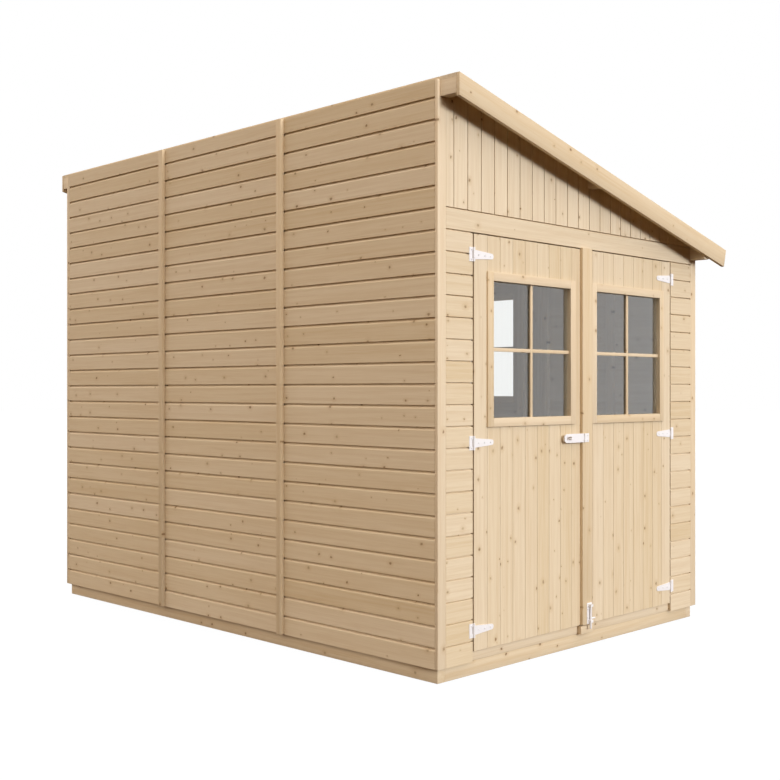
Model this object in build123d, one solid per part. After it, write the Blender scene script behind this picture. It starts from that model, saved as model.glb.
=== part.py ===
from build123d import *
import math
import os

# Wooden garden shed with a single-pitch roof, in millimetres.
# +Z is up, the doors face -Y, and the tall wall is on the -X side.
# The origin is on the ground, under the middle of the whole shed.

# Main walls, measured over the cladding and up from the underside of the cladding
# The tall height is that of the roof boards' underside, at their edge behind the tall wall's cladding
wall_length = 2980
tall_height = 2404.5
roof_pitch = 14
cladding_thickness = 16
frame_width = 45
frame_depth = 28
rail_height = 45
panels_per_side = 3
panels_at_back = 2
panel_gap = 2
corner_strip_width = 50
back_strip_thickness = 14
deck_edge_lap = 4
batten_width = 34
batten_thickness = 20
batten_roof_clearance = 4

# Floor
bearer_height = 62
bearer_width = 45
plinth_inset = 20
joist_count = 5
floor_thickness = 18
floor_wall_clearance = 2

# Roof
deck_thickness = 16
front_overhang = 104
back_overhang = 85
eave_overhang = 137
fascia_thickness = 17
fascia_depth = 92
purlin_width = 45
purlin_round = 3
top_purlin_depth = 66
middle_purlin_depth = 58
eave_purlin_depth = 93
middle_purlin_share = 0.517
notch_clearance = 1

# Front wall and its doorway
left_jamb_width = 216
right_jamb_width = 248
header_height = 90
header_eave_drop = 21.5
threshold_height = 37
keeper_width = 92
keeper_proud = 8

# Door leaves, and the strip on the right one that covers the gap between them
hinge_stile_width = 114.5
meeting_stile_width = 100.5
hinge_side_gap = 7
meeting_gap = 6
head_gap = 6
sill_gap = 6
meeting_strip_width = 76
meeting_strip_thickness = 17
meeting_strip_lap = 18
ledge_height = 90
ledge_thickness = 20
ledge_edge_inset = 14
ledge_end_inset = 43
ledge_sash_gap = 20
brace_width = 80

# Windows, the same in both doors and in the low side wall
window_width = 553
window_height = 587
side_window_drop = 53
door_window_shift = 6.5
trim_width = 38
trim_thickness = 9
sash_width = 38
sash_depth = 18
glass_thickness = 4
glass_rebate = 9
glass_clearance = 0.2

# T-hinges
hinge_metal = 2.5
hinge_plate_height = 60
hinge_plate_reach = 20
barrel_radius = 5
hinge_pin_radius = 2.4
hinge_pin_clearance = 0.3
middle_knuckle_height = 28
knuckle_gap = 1
barrel_clearance = 2
strap_length = 130
strap_root_height = 40
strap_tip_radius = 12

# Hasp and staple
hasp_depth = 41
hasp_plate_length = 36
hasp_metal = 2.5
hasp_axis_setback = 10
hasp_axis_standoff = 4.8
hasp_barrel_radius = 4
hasp_pin_radius = 2
hasp_flap_length = 157
slot_length = 40
slot_height = 16
slot_end_inset = 19
staple_bar = 5
staple_width = 25
staple_leg = 24
staple_plate_inset = 16
staple_plate_length = 52
staple_plate_height = 30

# Barrel bolt
bolt_edge_inset = 13
bolt_plate_width = 38
bolt_plate_rise = 3
bolt_plate_height = 98
bolt_rod_radius = 5
bolt_rod_standoff = 9
bolt_rod_drop = 20
bolt_rod_length = 112
bolt_guide_width = 20
bolt_guide_height = 12
bolt_guide_wall = 3
bolt_guide_inset = 6
bolt_bore_clearance = 0.4
bolt_knob_radius = 4
bolt_knob_reach = 32
bolt_knob_gap = 3

# One overrun serves all cuts
overrun = 5

# Places worked out from the sizes above
pitch = math.radians(roof_pitch)
slope = math.tan(pitch)
leaf_width = hinge_stile_width + window_width + meeting_stile_width
doorway_width = 2 * (hinge_side_gap + leaf_width) + meeting_gap
wall_width = left_jamb_width + doorway_width + right_jamb_width
overall_width = batten_thickness + wall_width + eave_overhang
overall_length = front_overhang + wall_length + back_overhang
tall_x = batten_thickness - overall_width / 2
low_x = tall_x + wall_width
front_y = front_overhang - overall_length / 2
back_y = front_y + wall_length
base_z = bearer_height
inner_tall_x = tall_x + cladding_thickness
inner_low_x = low_x - cladding_thickness
inner_front_y = front_y + cladding_thickness
back_face_y = back_y - back_strip_thickness
inner_back_y = back_face_y - cladding_thickness
room_tall_x = inner_tall_x + frame_depth
room_low_x = inner_low_x - frame_depth
room_front_y = inner_front_y + frame_depth
room_back_y = inner_back_y - frame_depth
strip_tall_x = tall_x + corner_strip_width
strip_low_x = low_x - corner_strip_width
threshold_top_z = base_z + threshold_height
deck_drop = deck_thickness / math.cos(pitch)
fascia_drop = fascia_depth / math.cos(pitch)
deck_front_y = front_y - front_overhang + fascia_thickness
deck_back_y = back_y + back_overhang - fascia_thickness
eave_x = low_x + eave_overhang


def deck_underside(x):
    """Height of the roof boards' underside over a place across the shed."""
    return base_z + tall_height - (x - inner_tall_x) * slope


tall_top_z = deck_underside(inner_tall_x) + deck_edge_lap
roof_top_z = deck_underside(inner_tall_x) + deck_drop
eave_top_z = roof_top_z - (eave_x - inner_tall_x) * slope

left_jamb_x = tall_x + left_jamb_width
left_leaf_x = left_jamb_x + hinge_side_gap
left_leaf_end_x = left_leaf_x + leaf_width
right_leaf_x = left_leaf_end_x + meeting_gap
right_leaf_end_x = right_leaf_x + leaf_width
right_jamb_x = right_leaf_end_x + hinge_side_gap
meeting_strip_x = right_leaf_x - meeting_strip_lap
strip_face_y = front_y - meeting_strip_thickness
header_top_z = deck_underside(strip_low_x) - header_eave_drop
head_z = header_top_z - header_height
leaf_bottom_z = threshold_top_z + sill_gap
leaf_top_z = head_z - head_gap
bottom_ledge_z = leaf_bottom_z + ledge_end_inset
top_ledge_z = leaf_top_z - ledge_end_inset - ledge_height
door_window_z = top_ledge_z - ledge_sash_gap - sash_width - window_height / 2
middle_ledge_z = door_window_z - window_height / 2 - sash_width - ledge_sash_gap - ledge_height
ledge_places_z = (bottom_ledge_z, middle_ledge_z, top_ledge_z)
left_hinge_x = left_jamb_x + hinge_side_gap / 2
right_hinge_x = right_jamb_x - hinge_side_gap / 2
hinge_axis_y = front_y - barrel_radius
leaf_back_y = front_y + cladding_thickness

top_purlin_x = inner_tall_x
middle_purlin_x = tall_x + wall_width * middle_purlin_share
eave_purlin_x = inner_low_x - purlin_width
top_purlin_z = deck_underside(top_purlin_x) - top_purlin_depth
middle_purlin_z = deck_underside(middle_purlin_x) - middle_purlin_depth
eave_purlin_z = deck_underside(eave_purlin_x) - eave_purlin_depth


def block(x_from, x_to, y_from, y_to, z_from, z_to):
    """A square-edged timber or plate between two corners."""
    centre = ((x_from + x_to) / 2, (y_from + y_to) / 2, (z_from + z_to) / 2)
    return Pos(*centre) * Box(x_to - x_from, y_to - y_from, z_to - z_from)


def prism(outline, y_from, y_to):
    """A board cut to an outline of (x, z) points, as thick as from one y to the other."""
    face = Plane.XZ.offset(-y_to) * Polygon(*outline, align=None)
    return extrude(face, amount=y_to - y_from, dir=(0, -1, 0))


def rod(radius, height, centre):
    """An upright round bar about a centre."""
    return Pos(*centre) * Cylinder(radius, height)


def together(pieces):
    """Like pieces that share a node, each still its own solid."""
    return Compound(children=list(pieces))


def under_roof(x_from, x_to, y_from, y_to, z_from):
    """An upright board whose top end follows the roof boards' underside."""
    outline = (
        (x_from, z_from),
        (x_to, z_from),
        (x_to, deck_underside(x_to)),
        (x_from, deck_underside(x_from)),
    )
    return prism(outline, y_from, y_to)


def purlin(x_from, z_from):
    """A roof timber with a bevelled top and rounded lower edges, from fascia to fascia."""
    timber = under_roof(x_from, x_from + purlin_width, deck_front_y, deck_back_y, z_from)
    long_edges = timber.edges().filter_by(Axis.Y).sort_by(Axis.Z)
    return fillet(long_edges[:2], purlin_round)


def purlin_notch(x_from, z_from, y_from, y_to):
    """The cut that lets a purlin through an end wall."""
    return block(
        x_from - notch_clearance,
        x_from + purlin_width + notch_clearance,
        y_from - overrun,
        y_to + overrun,
        z_from - notch_clearance,
        roof_top_z,
    )


purlin_places = (
    (top_purlin_x, top_purlin_z),
    (middle_purlin_x, middle_purlin_z),
    (eave_purlin_x, eave_purlin_z),
)


def notched(board, y_from, y_to):
    """An end wall's board with room for the purlins that pass through it."""
    for x_from, z_from in purlin_places:
        board = board - purlin_notch(x_from, z_from, y_from, y_to)
    return board


# Floor: bearers round the edge, joists across, and a deck of boards inside the walls
bearer_tall_x = tall_x + plinth_inset
bearer_low_x = low_x - plinth_inset
bearer_front_y = front_y + plinth_inset
bearer_back_y = back_y - plinth_inset
joist_from_x = bearer_tall_x + bearer_width
joist_to_x = bearer_low_x - bearer_width


def side_bearer(x_from):
    return block(x_from, x_from + bearer_width, bearer_front_y, bearer_back_y, 0, bearer_height)


def cross_bearer(y_from):
    return block(joist_from_x, joist_to_x, y_from, y_from + bearer_width, 0, bearer_height)


side_bearers = together([side_bearer(bearer_tall_x), side_bearer(joist_to_x)])
end_bearers = together([cross_bearer(bearer_front_y), cross_bearer(bearer_back_y - bearer_width)])
joist_pitch = (bearer_back_y - bearer_front_y - bearer_width) / (joist_count + 1)
floor_joists = together(
    cross_bearer(bearer_front_y + joist_pitch * (number + 1)) for number in range(joist_count)
)
floor_deck = block(
    room_tall_x + floor_wall_clearance,
    room_low_x - floor_wall_clearance,
    room_front_y + floor_wall_clearance,
    room_back_y - floor_wall_clearance,
    base_z,
    base_z + floor_thickness,
)


# Windows: an outside trim, a pane in a rebate behind the boards, and an inside sash that holds it there
def window_ring(width, y_from, y_to):
    """A rectangular ring round the window opening, seen from the front."""
    outside = block(
        -window_width / 2 - width,
        window_width / 2 + width,
        y_from,
        y_to,
        -window_height / 2 - width,
        window_height / 2 + width,
    )
    return outside - window_hole(y_from, y_to)


def window_hole(y_from, y_to):
    """The space of the window opening."""
    return block(
        -window_width / 2,
        window_width / 2,
        y_from - overrun,
        y_to + overrun,
        -window_height / 2,
        window_height / 2,
    )


def window_trim():
    return window_ring(trim_width, -trim_thickness, 0)


def window_sash():
    return window_ring(sash_width, cladding_thickness, cladding_thickness + sash_depth)


def pane_space(margin, y_to):
    """The room of the pane at the back of the boards, larger than the opening by a margin."""
    return block(
        -window_width / 2 - margin,
        window_width / 2 + margin,
        cladding_thickness - glass_thickness,
        y_to,
        -window_height / 2 - margin,
        window_height / 2 + margin,
    )


def window_pane():
    return pane_space(glass_rebate - glass_clearance, cladding_thickness)


left_window_x = left_leaf_x + hinge_stile_width + window_width / 2 + door_window_shift
right_window_x = right_leaf_end_x - hinge_stile_width - window_width / 2 + door_window_shift
side_window_y = (front_y + back_y) / 2
side_window_z = eave_purlin_z - rail_height - side_window_drop - sash_width - window_height / 2
left_window_place = Pos(left_window_x, front_y, door_window_z)
right_window_place = Pos(right_window_x, front_y, door_window_z)
side_window_place = Pos(low_x, side_window_y, side_window_z) * Rot(0, 0, 90)
wall_hole = window_hole(0, cladding_thickness) + pane_space(glass_rebate, cladding_thickness + overrun)


# Side walls: three clad panels each, with cover battens on the joints
# The tall wall's boards lap up over the edge of the roof boards, the low wall's end under them
side_panel_length = (inner_back_y - inner_front_y) / panels_per_side


def side_panel_ends(number):
    y_from = inner_front_y + side_panel_length * number
    y_to = y_from + side_panel_length
    if number > 0:
        y_from = y_from + panel_gap / 2
    if number < panels_per_side - 1:
        y_to = y_to - panel_gap / 2
    return y_from, y_to


def low_panel(number):
    return under_roof(inner_low_x, low_x, *side_panel_ends(number), base_z)


tall_wall_panels = together(
    block(tall_x, inner_tall_x, *side_panel_ends(number), base_z, tall_top_z)
    for number in range(panels_per_side)
)
window_panel_number = panels_per_side // 2
low_wall_panels = together(
    low_panel(number) for number in range(panels_per_side) if number != window_panel_number
)
low_wall_window_panel = low_panel(window_panel_number) - side_window_place * wall_hole


# Back wall: two clad panels over the whole width, with the gable above them
back_panel_length = wall_width / panels_at_back


def back_panel(number):
    x_from = tall_x + back_panel_length * number
    x_to = x_from + back_panel_length
    if number > 0:
        x_from = x_from + panel_gap / 2
    if number < panels_at_back - 1:
        x_to = x_to - panel_gap / 2
    panel = block(x_from, x_to, inner_back_y, back_face_y, base_z, header_top_z)
    return notched(panel, inner_back_y, back_face_y)


def gable(x_from, x_to, y_from, y_to):
    """The boards above an end wall, cut to the roof's slope and notched for the purlins."""
    return notched(under_roof(x_from, x_to, y_from, y_to, header_top_z), y_from, y_to)


back_wall_panels = together(back_panel(number) for number in range(panels_at_back))
back_gable = gable(tall_x, low_x, inner_back_y, back_face_y)


# Front wall: a jamb panel each side of the doorway, a header board over it, and the gable
front_wall_panels = together(
    block(x_from, x_to, front_y, inner_front_y, base_z, head_z)
    for x_from, x_to in ((strip_tall_x, left_jamb_x), (right_jamb_x, strip_low_x))
)
front_header = notched(
    block(strip_tall_x, strip_low_x, front_y, inner_front_y, head_z, header_top_z), front_y, inner_front_y
)
front_gable = gable(strip_tall_x, strip_low_x, front_y, inner_front_y)
threshold = block(inner_tall_x, inner_low_x, inner_front_y, room_front_y, base_z, threshold_top_z)
keeper_block = block(
    meeting_strip_x,
    meeting_strip_x + keeper_width,
    front_y - keeper_proud,
    inner_front_y,
    base_z,
    threshold_top_z,
)


# Corner strips: in line with the boards at the front, on top of them at the back
# The tall ones lap up over the edge of the roof boards, like the tall wall
def tall_strip(y_from, y_to):
    return notched(block(tall_x, strip_tall_x, y_from, y_to, base_z, tall_top_z), y_from, y_to)


def low_strip(y_from, y_to):
    return notched(under_roof(strip_low_x, low_x, y_from, y_to, base_z), y_from, y_to)


corner_strips = together(
    strip(y_from, y_to)
    for strip in (tall_strip, low_strip)
    for y_from, y_to in ((front_y, inner_front_y), (back_face_y, back_y))
)

# Cover battens on the panel joints
batten_low_x = low_x + batten_thickness
low_batten_top_z = deck_underside(batten_low_x) - batten_roof_clearance


def side_batten(x_from, number, top_z):
    middle = inner_front_y + side_panel_length * number
    return block(
        x_from,
        x_from + batten_thickness,
        middle - batten_width / 2,
        middle + batten_width / 2,
        base_z,
        top_z,
    )


def back_batten(number):
    middle = tall_x + back_panel_length * number
    return block(
        middle - batten_width / 2,
        middle + batten_width / 2,
        back_face_y,
        back_face_y + batten_thickness,
        base_z,
        header_top_z,
    )


cover_battens = together(
    [side_batten(tall_x - batten_thickness, number, tall_top_z) for number in range(1, panels_per_side)]
    + [side_batten(low_x, number, low_batten_top_z) for number in range(1, panels_per_side)]
    + [back_batten(number) for number in range(1, panels_at_back)]
)

# Wall framing behind the cladding: studs standing between a bottom and a top rail
rail_top_z = base_z + rail_height
head_rail_z = head_z + rail_height
back_rail_z = header_top_z - rail_height
post_tall_x = inner_tall_x + frame_width
post_low_x = inner_low_x - frame_width
window_stud_offset = window_width / 2 + sash_width


def panel_stud_places(number):
    """Where a side panel's two end studs start along the wall."""
    y_from = inner_front_y + side_panel_length * number
    y_to = y_from + side_panel_length
    first = max(y_from + panel_gap / 2, room_front_y)
    last = min(y_to - panel_gap / 2, room_back_y) - frame_width
    return [first, last]


def side_studs(x_from, top_z, number, between):
    places = panel_stud_places(number) + between
    return [
        block(x_from, x_from + frame_depth, y_from, y_from + frame_width, rail_top_z, top_z - rail_height)
        for y_from in places
    ]


def middle_stud_place(number):
    return [sum(panel_stud_places(number)) / 2]


window_stud_places = [
    side_window_y - window_stud_offset - frame_width,
    side_window_y + window_stud_offset,
]
tall_studs = []
low_studs = []
for number in range(panels_per_side):
    tall_studs += side_studs(inner_tall_x, top_purlin_z, number, middle_stud_place(number))
    extra = window_stud_places if number == window_panel_number else middle_stud_place(number)
    low_studs += side_studs(room_low_x, eave_purlin_z, number, extra)


def end_stud(x_from, y_from, z_from, z_to):
    return block(x_from, x_from + frame_width, y_from, y_from + frame_depth, z_from, z_to)


front_studs = [
    end_stud(inner_tall_x, inner_front_y, threshold_top_z, top_purlin_z),
    end_stud(left_jamb_x - frame_width, inner_front_y, threshold_top_z, head_z),
    end_stud(right_jamb_x, inner_front_y, threshold_top_z, head_z),
    end_stud(post_low_x, inner_front_y, threshold_top_z, eave_purlin_z),
]
back_studs = [
    end_stud(inner_tall_x, room_back_y, base_z, top_purlin_z),
    end_stud(post_low_x, room_back_y, base_z, eave_purlin_z),
]
for number in range(1, panels_at_back):
    joint_x = tall_x + back_panel_length * number
    back_studs.append(end_stud(joint_x - frame_width / 2, room_back_y, rail_top_z, back_rail_z))


def side_rail(x_from, z_from):
    return block(x_from, x_from + frame_depth, room_front_y, room_back_y, z_from, z_from + rail_height)


def end_rail(y_from, z_from):
    return block(post_tall_x, post_low_x, y_from, y_from + frame_depth, z_from, z_from + rail_height)


wall_studs = together(tall_studs + low_studs + front_studs + back_studs)
wall_rails = together(
    [
        side_rail(inner_tall_x, base_z),
        side_rail(inner_tall_x, top_purlin_z - rail_height),
        side_rail(room_low_x, base_z),
        side_rail(room_low_x, eave_purlin_z - rail_height),
        end_rail(inner_front_y, head_z),
        end_rail(room_back_y, base_z),
        end_rail(room_back_y, back_rail_z),
    ]
)

# Roof: purlins, a deck of boards down the slope, and a bargeboard on each end
purlins = together(purlin(x_from, z_from) for x_from, z_from in purlin_places)
deck_end_x = eave_x - deck_thickness * math.sin(pitch)
deck_end_z = eave_top_z - deck_thickness * math.cos(pitch)
roof_deck = prism(
    (
        (inner_tall_x, roof_top_z - deck_drop),
        (deck_end_x, deck_end_z),
        (eave_x, eave_top_z),
        (inner_tall_x, roof_top_z),
    ),
    deck_front_y,
    deck_back_y,
)


def bargeboard(y_from):
    """A sloping board, cut plumb at the ridge end and square at the eave end."""
    outline = (
        (inner_tall_x, roof_top_z - fascia_drop),
        (eave_x - fascia_depth * math.sin(pitch), eave_top_z - fascia_depth * math.cos(pitch)),
        (eave_x, eave_top_z),
        (inner_tall_x, roof_top_z),
    )
    return prism(outline, y_from, y_from + fascia_thickness)


bargeboards = together([bargeboard(front_y - front_overhang), bargeboard(deck_back_y)])


# Door leaves: upright boards on three ledges, with a brace rising from the hinge side
def leaf_boards(x_from, x_to, window_place):
    leaf = block(x_from, x_to, front_y, leaf_back_y, leaf_bottom_z, leaf_top_z)
    return leaf - window_place * wall_hole


meeting_strip = block(
    meeting_strip_x,
    meeting_strip_x + meeting_strip_width,
    strip_face_y,
    front_y,
    leaf_bottom_z,
    head_z,
)


def leaf_ledges(x_from, x_to):
    return together(
        block(
            x_from + ledge_edge_inset,
            x_to - ledge_edge_inset,
            leaf_back_y,
            leaf_back_y + ledge_thickness,
            z_from,
            z_from + ledge_height,
        )
        for z_from in ledge_places_z
    )


def leaf_brace(hinge_x, free_x):
    """A slanting board between the two lower ledges, low at the hinge side."""
    inward = math.copysign(1, free_x - hinge_x)
    low = hinge_x + inward * ledge_edge_inset
    high = free_x - inward * ledge_edge_inset
    z_from = bottom_ledge_z + ledge_height
    outline = [
        (low, z_from),
        (low + inward * brace_width, z_from),
        (high, middle_ledge_z),
        (high - inward * brace_width, middle_ledge_z),
    ]
    return prism(outline, leaf_back_y, leaf_back_y + ledge_thickness)


# T-hinges: a plate with two knuckles and the pin on the jamb, a tapered strap on the leaf
def hinge_plate():
    outer_height = (hinge_plate_height - middle_knuckle_height) / 2 - knuckle_gap
    outer_mid = hinge_plate_height / 2 - outer_height / 2
    edge_x = -barrel_radius - barrel_clearance
    plate = block(
        edge_x - hinge_plate_reach, edge_x, -hinge_metal, 0, -hinge_plate_height / 2, hinge_plate_height / 2
    )
    plate = plate + rod(hinge_pin_radius, hinge_plate_height, (0, -barrel_radius, 0))
    for side in (-1, 1):
        middle = side * outer_mid
        tab = block(edge_x, 0, -hinge_metal, 0, middle - outer_height / 2, middle + outer_height / 2)
        plate = plate + tab + rod(barrel_radius, outer_height, (0, -barrel_radius, middle))
    return plate


def hinge_strap():
    root_x = barrel_radius + barrel_clearance
    tip_x = strap_length - strap_tip_radius
    half_root = strap_root_height / 2
    outline = (
        (root_x, -half_root),
        (tip_x, -strap_tip_radius),
        (tip_x, strap_tip_radius),
        (root_x, half_root),
    )
    strap = prism(outline, -hinge_metal, 0)
    tip = Pos(tip_x, -hinge_metal / 2, 0) * Rot(90, 0, 0) * Cylinder(strap_tip_radius, hinge_metal)
    half_knuckle = middle_knuckle_height / 2
    tab = block(0, root_x, -hinge_metal, 0, -half_knuckle, half_knuckle)
    knuckle = rod(barrel_radius, middle_knuckle_height, (0, -barrel_radius, 0))
    bore_radius = hinge_pin_radius + hinge_pin_clearance
    bore = rod(bore_radius, middle_knuckle_height + overrun, (0, -barrel_radius, 0))
    return strap + tip + tab + knuckle - bore


def hinges(make, hinge_x, hand):
    """One hinge part over each ledge, turned for a leaf hung on the left or the right."""
    shape = make()
    if hand == "right":
        shape = mirror(shape, about=Plane.YZ)
    return [Pos(hinge_x, front_y, z_from + ledge_height / 2) * shape for z_from in ledge_places_z]


hinge_plates = together(
    hinges(hinge_plate, left_hinge_x, "left") + hinges(hinge_plate, right_hinge_x, "right")
)
left_hinge_straps = together(hinges(hinge_strap, left_hinge_x, "left"))
right_hinge_straps = together(hinges(hinge_strap, right_hinge_x, "right"))

# Hasp: a plate on the meeting strip, a flap that swings on it, and a staple with its plate on the left leaf
hasp_x = meeting_strip_x + hasp_axis_setback
hasp_axis_y = strip_face_y - hasp_axis_standoff
hasp_z = middle_ledge_z + ledge_height / 2
flap_knuckle_height = hasp_depth / 2
slot_middle_x = hasp_x - hasp_flap_length + slot_end_inset + slot_length / 2


def hasp_plate():
    half_depth = hasp_depth / 2
    half_gap = flap_knuckle_height / 2 + knuckle_gap
    foot_x = hasp_x + hasp_barrel_radius + barrel_clearance
    plate = block(
        foot_x,
        hasp_x + hasp_plate_length,
        strip_face_y - hasp_metal,
        strip_face_y,
        hasp_z - half_depth,
        hasp_z + half_depth,
    )
    plate = plate + rod(hasp_pin_radius, hasp_depth, (hasp_x, hasp_axis_y, hasp_z))
    lug_height = half_depth - half_gap
    for side in (-1, 1):
        middle = hasp_z + side * (half_gap + lug_height / 2)
        lug = block(
            hasp_x - hasp_barrel_radius,
            foot_x,
            hasp_axis_y,
            strip_face_y,
            middle - lug_height / 2,
            middle + lug_height / 2,
        )
        plate = plate + lug + rod(hasp_barrel_radius, lug_height, (hasp_x, hasp_axis_y, middle))
    return plate


def hasp_flap():
    half_depth = hasp_depth / 2
    edge_x = hasp_x - hasp_barrel_radius - barrel_clearance
    end_x = hasp_x - hasp_flap_length + half_depth
    back = hasp_axis_y + hasp_barrel_radius
    front = back - hasp_metal
    half_knuckle = flap_knuckle_height / 2
    flap = block(end_x, edge_x, front, back, hasp_z - half_depth, hasp_z + half_depth)
    flap = flap + Pos(end_x, (front + back) / 2, hasp_z) * Rot(90, 0, 0) * Cylinder(half_depth, hasp_metal)
    flap = flap + block(edge_x, hasp_x, front, back, hasp_z - half_knuckle, hasp_z + half_knuckle)
    flap = flap + rod(hasp_barrel_radius, flap_knuckle_height, (hasp_x, hasp_axis_y, hasp_z))
    bore_radius = hasp_pin_radius + hinge_pin_clearance
    flap = flap - rod(bore_radius, flap_knuckle_height + overrun, (hasp_x, hasp_axis_y, hasp_z))
    slot = Pos(slot_middle_x, hasp_z) * SlotOverall(slot_length, slot_height)
    slot = Plane.XZ.offset(-back - overrun) * slot
    return flap - extrude(slot, amount=hasp_metal + 2 * overrun, dir=(0, -1, 0))


def hasp_staple():
    """A flat-bar loop that stands out of the left leaf through the flap's slot."""
    shoulder_y = front_y - staple_leg

    def loop(radius):
        leg = Pos(slot_middle_x, (front_y + shoulder_y) / 2) * Rectangle(2 * radius, staple_leg)
        return leg + Pos(slot_middle_x, shoulder_y) * Circle(radius)

    outline = loop(staple_width / 2) - loop(staple_width / 2 - staple_bar)
    bar = extrude(Plane.XY.offset(hasp_z - staple_bar / 2) * outline, amount=staple_bar)
    plate = block(
        slot_middle_x - staple_plate_inset,
        slot_middle_x - staple_plate_inset + staple_plate_length,
        front_y - hasp_metal,
        front_y,
        hasp_z - staple_plate_height / 2,
        hasp_z + staple_plate_height / 2,
    )
    leaf_side = block(tall_x, low_x, front_y, back_y, base_z, roof_top_z)
    return plate + bar - leaf_side


# Barrel bolt: a plate with two guides on the meeting strip, and a rod that slides in them
bolt_x = right_leaf_x + bolt_edge_inset + bolt_plate_width / 2
bolt_axis_y = strip_face_y - bolt_rod_standoff
bolt_plate_z = leaf_bottom_z + bolt_plate_rise
bolt_rod_z = leaf_bottom_z - bolt_rod_drop
guide_low_z = bolt_plate_z + bolt_guide_inset
guide_high_z = bolt_plate_z + bolt_plate_height - bolt_guide_inset - bolt_guide_height


def bolt_case():
    case = block(
        bolt_x - bolt_plate_width / 2,
        bolt_x + bolt_plate_width / 2,
        strip_face_y - hinge_metal,
        strip_face_y,
        bolt_plate_z,
        bolt_plate_z + bolt_plate_height,
    )
    guide_front_y = bolt_axis_y - bolt_rod_radius - bolt_guide_wall
    for z_from in (guide_low_z, guide_high_z):
        case = case + block(
            bolt_x - bolt_guide_width / 2,
            bolt_x + bolt_guide_width / 2,
            guide_front_y,
            strip_face_y,
            z_from,
            z_from + bolt_guide_height,
        )
    bore_z = bolt_plate_z + bolt_plate_height / 2
    bore_radius = bolt_rod_radius + bolt_bore_clearance
    return case - rod(bore_radius, bolt_plate_height + overrun, (bolt_x, bolt_axis_y, bore_z))


def bolt_rod():
    bar = rod(bolt_rod_radius, bolt_rod_length, (bolt_x, bolt_axis_y, bolt_rod_z + bolt_rod_length / 2))
    knob_z = guide_low_z + bolt_guide_height + bolt_knob_gap + bolt_knob_radius
    knob = Pos(bolt_x + bolt_knob_reach / 2, bolt_axis_y, knob_z) * Rot(0, 90, 0)
    return bar + knob * Cylinder(bolt_knob_radius, bolt_knob_reach)


nodes = {
    "side_bearers": side_bearers,
    "end_bearers": end_bearers,
    "floor_joists": floor_joists,
    "floor_deck": floor_deck,
    "tall_wall_panels": tall_wall_panels,
    "low_wall_panels": low_wall_panels,
    "low_wall_window_panel": low_wall_window_panel,
    "back_wall_panels": back_wall_panels,
    "back_gable": back_gable,
    "front_wall_panels": front_wall_panels,
    "front_header": front_header,
    "front_gable": front_gable,
    "threshold": threshold,
    "keeper_block": keeper_block,
    "corner_strips": corner_strips,
    "cover_battens": cover_battens,
    "wall_studs": wall_studs,
    "wall_rails": wall_rails,
    "purlins": purlins,
    "roof_deck": roof_deck,
    "bargeboards": bargeboards,
    "side_window_trim": side_window_place * window_trim(),
    "side_window_sash": side_window_place * window_sash(),
    "side_window_glass": side_window_place * window_pane(),
    "hinge_plates": hinge_plates,
    "left_door_boards": leaf_boards(left_leaf_x, left_leaf_end_x, left_window_place),
    "left_door_ledges": leaf_ledges(left_leaf_x, left_leaf_end_x),
    "left_door_brace": leaf_brace(left_leaf_x, left_leaf_end_x),
    "left_window_trim": left_window_place * window_trim(),
    "left_window_sash": left_window_place * window_sash(),
    "left_window_glass": left_window_place * window_pane(),
    "left_hinge_straps": left_hinge_straps,
    "hasp_staple": hasp_staple(),
    "right_door_boards": leaf_boards(right_leaf_x, right_leaf_end_x, right_window_place),
    "right_door_ledges": leaf_ledges(right_leaf_x, right_leaf_end_x),
    "right_door_brace": leaf_brace(right_leaf_end_x, right_leaf_x),
    "meeting_strip": meeting_strip,
    "right_window_trim": right_window_place * window_trim(),
    "right_window_sash": right_window_place * window_sash(),
    "right_window_glass": right_window_place * window_pane(),
    "right_hinge_straps": right_hinge_straps,
    "hasp_plate": hasp_plate(),
    "bolt_case": bolt_case(),
    "hasp_flap": hasp_flap(),
    "bolt_rod": bolt_rod(),
}

os.makedirs("parts", exist_ok=True)
for name, shape in nodes.items():
    export_step(shape, f"parts/{name}.step")
print(len(nodes), "nodes; hinge axes at x", left_hinge_x, right_hinge_x, "y", hinge_axis_y)
print("hasp axis at x", hasp_x, "y", hasp_axis_y)
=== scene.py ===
# %% [markdown]
# # A wooden garden shed
# The CAD frame gives the shed's true sizes and its moving bodies, but each wall there is one plain slab.
# This lesson dresses that frame: slabs become lapped boards, timbers get eased edges, and every board gets
# its own grain and knots. All lengths are in metres, in the same place as the CAD.

import bmesh
import bpy
import math
import random
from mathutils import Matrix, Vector


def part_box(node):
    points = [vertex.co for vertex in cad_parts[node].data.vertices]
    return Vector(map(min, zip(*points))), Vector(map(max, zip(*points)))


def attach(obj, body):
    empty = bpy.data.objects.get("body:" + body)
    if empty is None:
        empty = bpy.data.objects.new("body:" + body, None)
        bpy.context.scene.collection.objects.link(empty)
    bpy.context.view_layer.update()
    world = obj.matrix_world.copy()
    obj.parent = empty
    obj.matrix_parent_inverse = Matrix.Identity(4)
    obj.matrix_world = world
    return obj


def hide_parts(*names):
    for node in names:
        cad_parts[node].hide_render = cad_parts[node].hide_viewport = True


MM = 0.001
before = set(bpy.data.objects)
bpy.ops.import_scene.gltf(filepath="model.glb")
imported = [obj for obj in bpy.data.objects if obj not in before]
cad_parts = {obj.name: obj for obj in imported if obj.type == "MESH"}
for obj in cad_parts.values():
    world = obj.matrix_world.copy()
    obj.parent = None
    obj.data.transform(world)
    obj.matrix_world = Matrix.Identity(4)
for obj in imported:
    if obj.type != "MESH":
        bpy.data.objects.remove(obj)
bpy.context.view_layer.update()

# %% [markdown]
# ## Camera
# The picture was taken level, at about chest height, from the corner where the tall wall meets the doors.
# A camera could be aimed by eye, but the straight edges of the walls fix its place and lens exactly, so those
# worked-out values are typed in. The frame is square, so the lens is given for a 36 mm wide sensor.

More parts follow.
